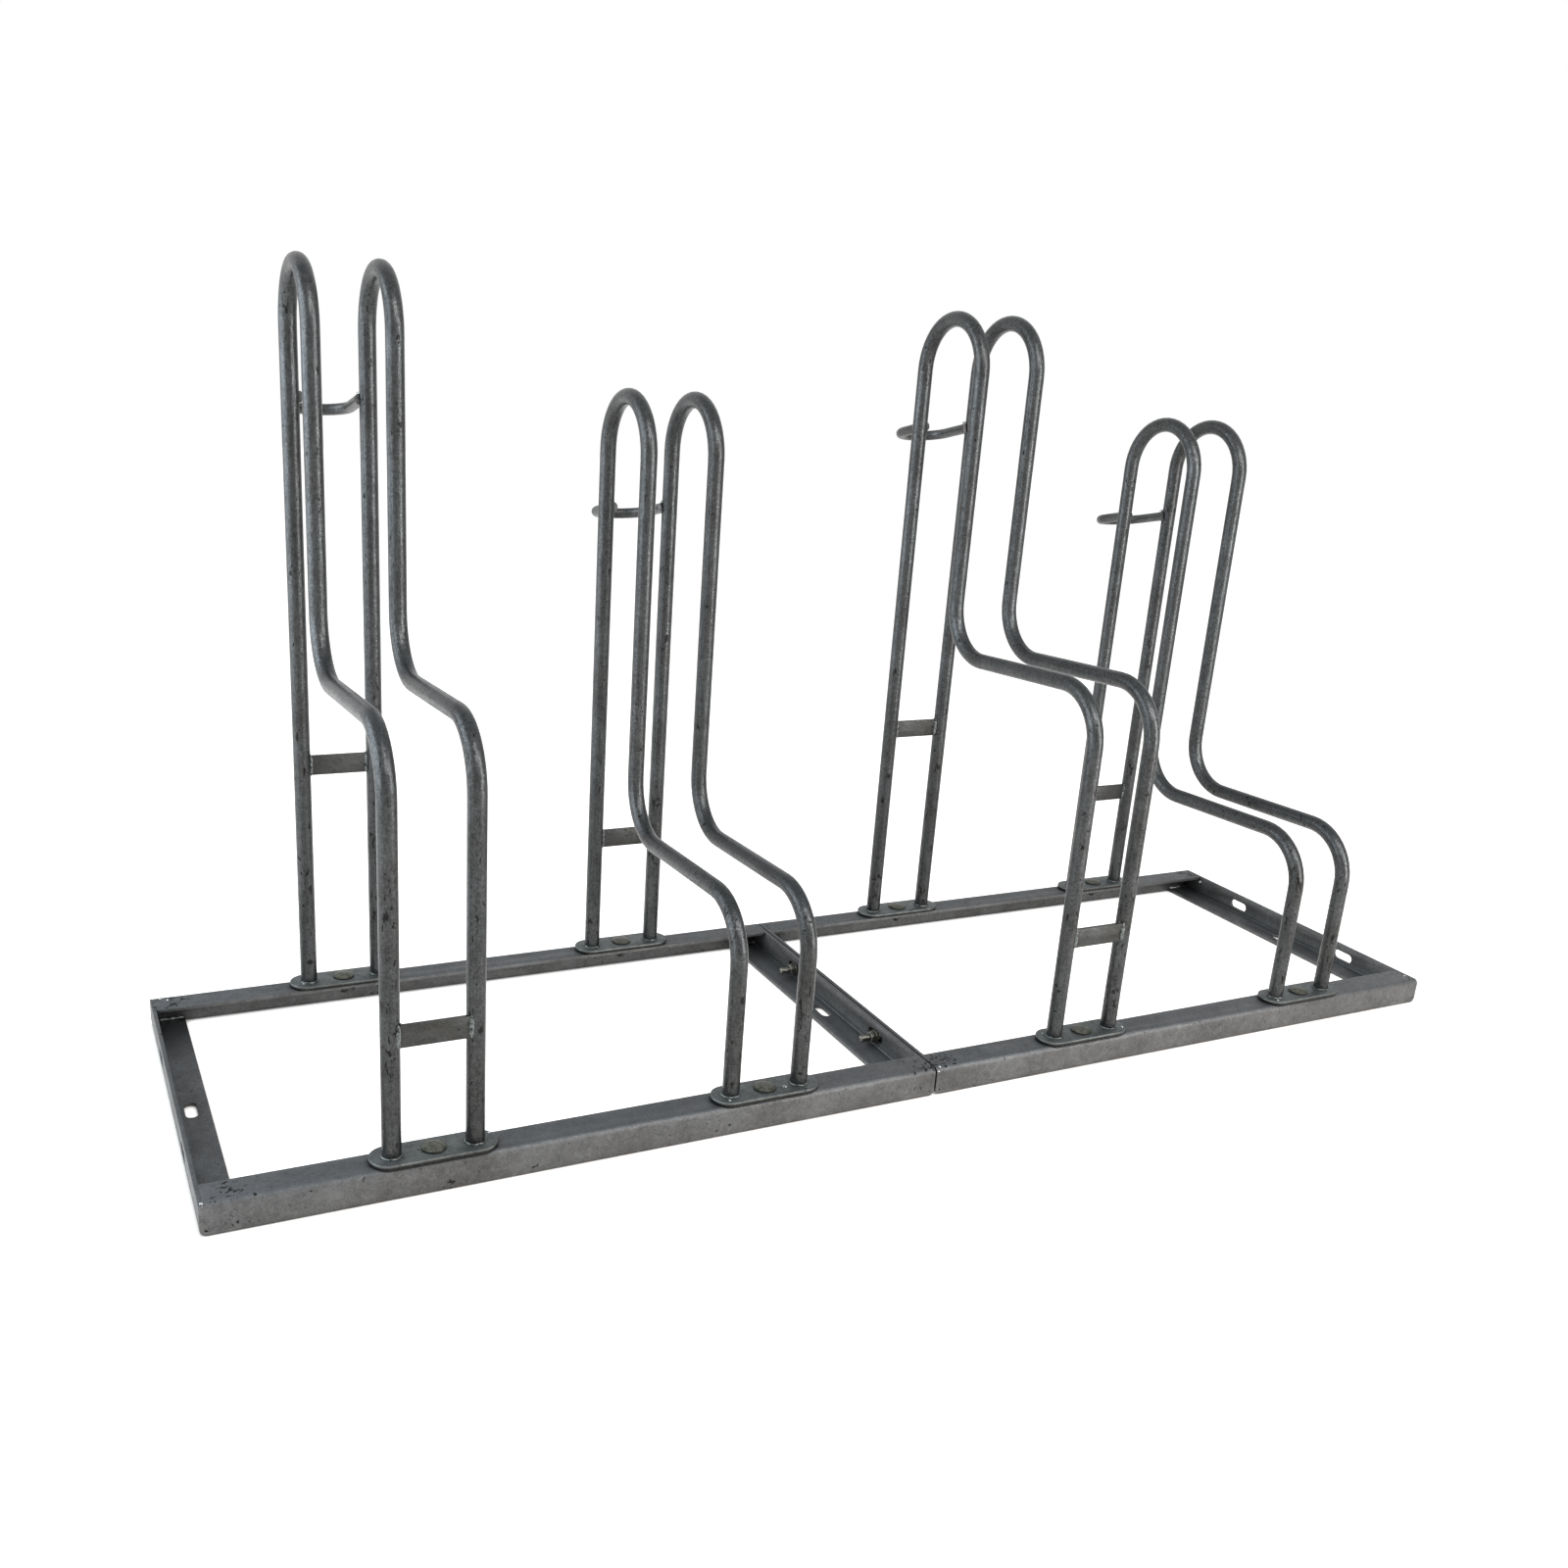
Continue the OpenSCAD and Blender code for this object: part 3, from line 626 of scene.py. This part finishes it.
# upright beads where the flat bars meet the tubes, before and behind each bar
put_down()
bpy.ops.mesh.primitive_uv_sphere_add(segments=12, ring_count=20, radius=mm(1))
bar_bead = name_new("bar_bead")
bar_bead.scale = BAR_BEAD
bpy.ops.object.transform_apply(location=True, rotation=True, scale=True)
lumpy(bar_bead, cell=3, swell=1.6)
beads = []
for holder in HOLDER_X:
    bars = [(REAR_FOOT_Y, 0, level(holder)["rear_bar"])]
    if holder in HIGH_HOLDERS:
        bars.append((FRONT_FOOT_Y, FRONT_BAR_LEAD, FRONT_BAR_Z))
    for foot_y, lead, z in bars:
        for face in (-1, 1):
            off = face * (BAR_T / 2) - lead
            meet = TUBE_PITCH / 2 - math.sqrt(TUBE_R ** 2 - min(abs(off), TUBE_R - 1) ** 2)
            for side in (-1, 1):
                point = (HOLDER_X[holder] + side * (meet - 0.3), foot_y + off, z)
                beads.append((point, (0, 0, 90 + 90 * side), UNSTRETCHED))
lay(bar_bead, "bar_weld_beads", RING_METAL, "galvanised_flat", beads)

# blobs above and below each end of a wheel stop, against the tube's inner rear side
put_down()
bpy.ops.mesh.primitive_uv_sphere_add(segments=14, ring_count=10, radius=mm(BLOB_R))
blob = name_new("stop_blob")
lumpy(blob, cell=4, swell=2.0)
blobs = []
for holder in HOLDER_X:
    for side in (-1, 1):
        x = HOLDER_X[holder] + side * (TUBE_PITCH / 2 - STOP_INSET + 1.5)
        for rise in (-5, 5):
            point = (x, REAR_FOOT_Y + 7.5, level(holder)["stop"] + rise)
            blobs.append((point, (0, 0, 70 * holder), (0.9, 1.1, 0.8)))
lay(blob, "stop_weld_blobs", WELD_METAL_WITH_GLINT, "galvanised_rod", blobs)

# beads across the end bars' floor legs, against the rails' upright legs
put_down()
bpy.ops.mesh.primitive_uv_sphere_add(segments=12, ring_count=28, radius=mm(1))
seam_bead = name_new("corner_bead")
seam_bead.scale = SEAM_BEAD
bpy.ops.object.transform_apply(location=True, rotation=True, scale=True)
lumpy(seam_bead, cell=4, swell=1.8)
seams = []
for x in FLOOR_LEG_X:
    for y, turn in ((FRONT_Y + ANGLE_T + 0.8, 90), (REAR_Y - ANGLE_T - 0.8, -90)):
        seams.append(((x, y, ANGLE_T + 0.6), (0, turn, 0), UNSTRETCHED))
lay(seam_bead, "corner_weld_beads", WELD_METAL_WITH_GLINT, "galvanised_angle", seams)

# drops of spatter beside the welds, and the lumps that grinding left on the frame's corners
put_down()
bpy.ops.mesh.primitive_uv_sphere_add(segments=10, ring_count=8, radius=mm(DROP_R))
drop = name_new("spatter_drop")
lumpy(drop, cell=2, swell=1.2)
# places given one by one, and how large a drop lies there
spatter = (
    (-180, -240, 36, 1.5), (-590, -230, 36, 0.9), (-489, -226, 36, 0.8), (-246, -247, 36, 0.9),
    (262, -243, 36, 1.0), (160, -226, 36, 0.8), (505, -247, 36, 1.1), (-590, 162, 36, 0.9),
    (-150, 176, 36, 1.0), (600, 164, 36, 0.8), (745.5, 149, 24, 2.0), (-749.6, -250.6, 25, 0.9),
    (-748, -249, 30.6, 1.2), (-740, 181, 31, 1.2), (-733, 176, 31, 0.9), (3.6, -250.5, 27, 1.2),
    (6, -248, 30.8, 1.0), (744, -236, 31, 1.1), (736, -241, 31, 0.9))
drops = [((x, y, z), (0, 0, 40 * number), (size, size, 0.7 * size))
         for number, (x, y, z, size) in enumerate(spatter)]
lay(drop, "weld_spatter", WELD_METAL_WITH_GLINT, "galvanised_angle", drops)

# threads of the joining bolts past their nuts: a ridged sleeve, wide and narrow in turn
put_down()
bpy.ops.mesh.primitive_circle_add(vertices=24, radius=mm(THREAD_ROOT_R), rotation=(0, math.radians(90), 0))
thread = name_new("bolt_thread")
bpy.ops.object.transform_apply(location=True, rotation=True, scale=True)
bpy.ops.object.mode_set(mode="EDIT")
bpy.ops.mesh.select_all(action="SELECT")
wide = THREAD_CREST_R / THREAD_ROOT_R
for step in range(2 * THREAD_TURNS):
    bpy.ops.mesh.extrude_region_move(TRANSFORM_OT_translate={"value": mm(THREAD_PITCH / 2, 0, 0)})
    ratio = wide if step % 2 == 0 else 1 / wide
    bpy.ops.transform.resize(value=(1, ratio, ratio), center_override=mm(THREAD_PITCH / 2 * (step + 1), 0, 0))
close_up(thread, 30)
tip_x = NUT_FACE_X - THREAD_PITCH * THREAD_TURNS
lay(thread, "joining_threads", THREAD_ZINC, "zinc_fastener",
    [((tip_x, y, JOINING_BOLT_Z), (0, 0, 0), UNSTRETCHED) for y in JOINING_BOLT_Y])


# floor, light and camera

def seen_directly(tree):
    """1 for what the camera sees, itself or in metal or glass, and 0 for the light that falls on things."""
    ray = add(tree, "ShaderNodeLightPath")
    seen = add(tree, "ShaderNodeMath",
               {0: ray.outputs["Is Camera Ray"], 1: ray.outputs["Is Glossy Ray"]}, operation="ADD")
    return add(tree, "ShaderNodeMath", {0: seen.outputs[0], 1: ray.outputs["Is Transmission Ray"]},
               operation="ADD", use_clamp=True).outputs[0]


def stage_material(name, code):
    """A pale floor, white to the camera and in metal; it keeps the object's shadow, close to it above all."""
    material, tree = new_material(name)
    # light that the rack keeps from the floor beside its lower edges
    nearby = add(tree, "ShaderNodeAmbientOcclusion", {"Distance": mm(10)}, samples=12)
    open_sky = add(tree, "ShaderNodeMapRange", {"Value": nearby.outputs["AO"], "From Min": 0.5,
                                                "From Max": 0.8, "To Min": 0.2, "To Max": 0.92})
    glow = add(tree, "ShaderNodeMath", {0: seen_directly(tree), 1: open_sky.outputs[0]},
               operation="MULTIPLY")
    pale = add(tree, "ShaderNodeBsdfDiffuse", {"Color": srgb(code)})
    white = add(tree, "ShaderNodeEmission", {"Color": srgb("#ffffff"), "Strength": glow.outputs[0]})
    both = add(tree, "ShaderNodeAddShader", {0: pale.outputs[0], 1: white.outputs[0]})
    add(tree, "ShaderNodeOutputMaterial", {"Surface": both.outputs[0]})
    return material


def lamp(name, place, aim, wide, high, watts, code="#ffffff"):
    """An area lamp turned to its aim; places and sizes are in metres."""
    put_down()
    bpy.ops.object.light_add(type="AREA", location=place)
    light = bpy.context.object
    light.name = name
    light.data.shape = "RECTANGLE"
    light.data.size, light.data.size_y = wide, high
    light.data.energy = watts
    light.data.color = srgb(code)[:3]
    light.rotation_euler = (Vector(place) - Vector(aim)).to_track_quat("Z", "Y").to_euler()
    return light


put_down()
bpy.ops.mesh.primitive_plane_add(size=16, location=(0, 0, -0.0005))
floor = name_new("studio_floor")
floor.data.materials.append(stage_material("pale_studio_floor", "#dcd6d0"))

world = bpy.data.worlds.new("studio")
bpy.context.scene.world = world
world.use_nodes = True
sky_tree = world.node_tree
sky_tree.nodes.clear()
sky = add(sky_tree, "ShaderNodeBackground", {"Color": srgb("#c9ced2"), "Strength": 0.55})
paper = add(sky_tree, "ShaderNodeBackground", {"Color": srgb("#ffffff"), "Strength": 1.0})
backdrop = add(sky_tree, "ShaderNodeMixShader", {0: seen_directly(sky_tree), 1: sky.outputs[0],
                                                 2: paper.outputs[0]})
add(sky_tree, "ShaderNodeOutputWorld", {"Surface": backdrop.outputs[0]})

# a broad cool softbox to the camera's left and a narrow lamp to its right draw the tubes' bands of light,
# and a small one in front and above lights the tops
lamp("left_softbox", (-2.6, 0.3, 1.1), (-0.5, 0, 0.5), 2.8, 2.2, 115, "#dce8f2")
lamp("right_strip", (0.95, -1.45, 0.9), (-0.2, 0, 0.5), 0.4, 1.8, 34)
lamp("front_top", (-0.1, -1.7, 2.2), (0, 0, 0.4), 1.0, 0.7, 30)

# the camera of the photograph, fitted to the outlines of the hoops and the frame
put_down()
bpy.ops.object.camera_add(location=(-0.8471, -1.41384, 0.7552),
                          rotation=[math.radians(a) for a in (71.702, -3.861, -26.636)])
camera = bpy.context.object
camera.name = "photo_camera"
camera.data.lens = 33.517
camera.data.sensor_width = 36
camera.data.shift_x, camera.data.shift_y = 0.01275, 0.03094
camera.data.clip_start = 0.02
bpy.context.scene.camera = camera
bpy.context.scene.view_settings.view_transform = "Standard"
